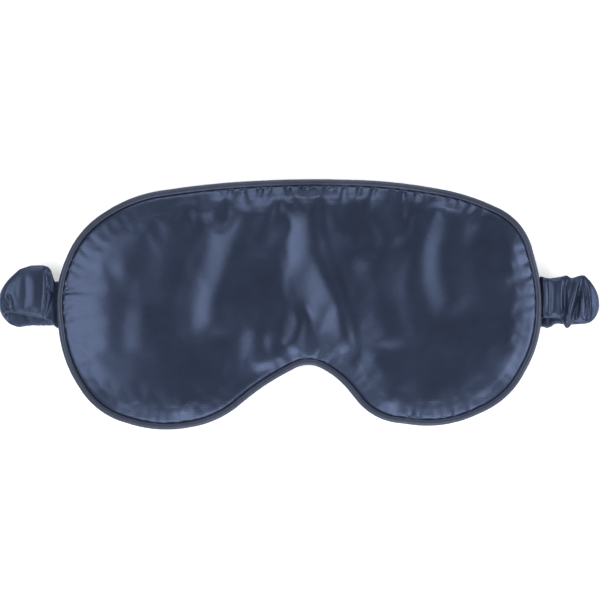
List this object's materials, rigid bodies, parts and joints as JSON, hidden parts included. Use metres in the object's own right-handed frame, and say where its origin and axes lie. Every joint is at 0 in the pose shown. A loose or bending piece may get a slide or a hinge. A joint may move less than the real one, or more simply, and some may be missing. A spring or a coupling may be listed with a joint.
{
  "type": "sleep eye mask",
  "caption": "Padded satin sleep eye mask with piped edge, nose notch and a gathered elastic strap that opens from flat into a head loop.",
  "frame": {"origin": "centre of the part's box, on the surface that the back of the mask and the folded strap lie on", "axes": "+Z out of the front of the mask, +Y towards the forehead, X from ear to ear with +X at the right of the front view"},
  "size_m": [0.2598, 0.1084, 0.0138],
  "materials": {
    "front_satin": "glossy navy satin",
    "back_satin": "glossy navy satin, the side against the face",
    "piping_satin": "navy satin cut on the bias",
    "piping_cord": "twisted cotton cord",
    "wadding": "soft polyester wadding",
    "blackout_lining": "dull black woven lining",
    "strap_satin": "gathered navy satin",
    "elastic": "braided elastic",
    "thread": "navy polyester thread"
  },
  "bodies": {
    "strap_back": {"strap_sleeve_back": "strap_satin", "strap_elastic_back": "elastic"},
    "strap_left_side": {"strap_sleeve_left_side": "strap_satin", "strap_elastic_left_side": "elastic"},
    "strap_left_end": {"strap_sleeve_left_end": "strap_satin", "strap_elastic_left_end": "elastic", "strap_sleeve_left_fold": "strap_satin", "strap_elastic_left_fold": "elastic"},
    "mask": {"front_panel": "front_satin", "wadding": "wadding", "blackout_liner": "blackout_lining", "back_panel": "back_satin", "piping_cover": "piping_satin", "piping_cord": "piping_cord", "seam_stitches": "thread", "strap_sleeve_left_tail": "strap_satin", "strap_elastic_left_tail": "elastic", "strap_tacks_left": "thread", "strap_sleeve_right_tail": "strap_satin", "strap_elastic_right_tail": "elastic", "strap_tacks_right": "thread"},
    "strap_right_side": {"strap_sleeve_right_side": "strap_satin", "strap_elastic_right_side": "elastic"},
    "strap_right_end": {"strap_sleeve_right_end": "strap_satin", "strap_elastic_right_end": "elastic", "strap_sleeve_right_fold": "strap_satin", "strap_elastic_right_fold": "elastic"}
  },
  "joints": [
    {"name": "left_side_lift", "type": "hinge", "parent": "strap_back", "child": "strap_left_side", "pos_m": [-0.06, 0, 0.0042], "axis": [0, 1, 0], "range_deg": [0, 46]},
    {"name": "left_fold_bend", "type": "hinge", "parent": "strap_left_side", "child": "strap_left_end", "pos_m": [-0.1253, 0, 0.0046], "axis": [0, 1, 0], "range_deg": [-136, 0], "deforming": ["strap_sleeve_left_fold", "strap_elastic_left_fold"]},
    {"name": "left_seam_bend", "type": "hinge", "parent": "strap_left_end", "child": "mask", "pos_m": [-0.10541, 0, 0.005], "axis": [0, 1, 0], "range_deg": [0, 90]},
    {"name": "right_side_lift", "type": "hinge", "parent": "strap_back", "child": "strap_right_side", "pos_m": [0.06, 0, 0.0042], "axis": [0, 1, 0], "range_deg": [-46, 0]},
    {"name": "right_fold_bend", "type": "hinge", "parent": "strap_right_side", "child": "strap_right_end", "pos_m": [0.1253, 0, 0.0046], "axis": [0, 1, 0], "range_deg": [0, 136], "deforming": ["strap_sleeve_right_fold", "strap_elastic_right_fold"]}
  ],
  "couplings": [
    {"joint": "left_fold_bend", "follows": "left_side_lift", "ratio": -2.9565},
    {"joint": "left_seam_bend", "follows": "left_side_lift", "ratio": 1.9565},
    {"joint": "right_side_lift", "follows": "left_side_lift", "ratio": -1},
    {"joint": "right_fold_bend", "follows": "left_side_lift", "ratio": 2.9565}
  ]
}
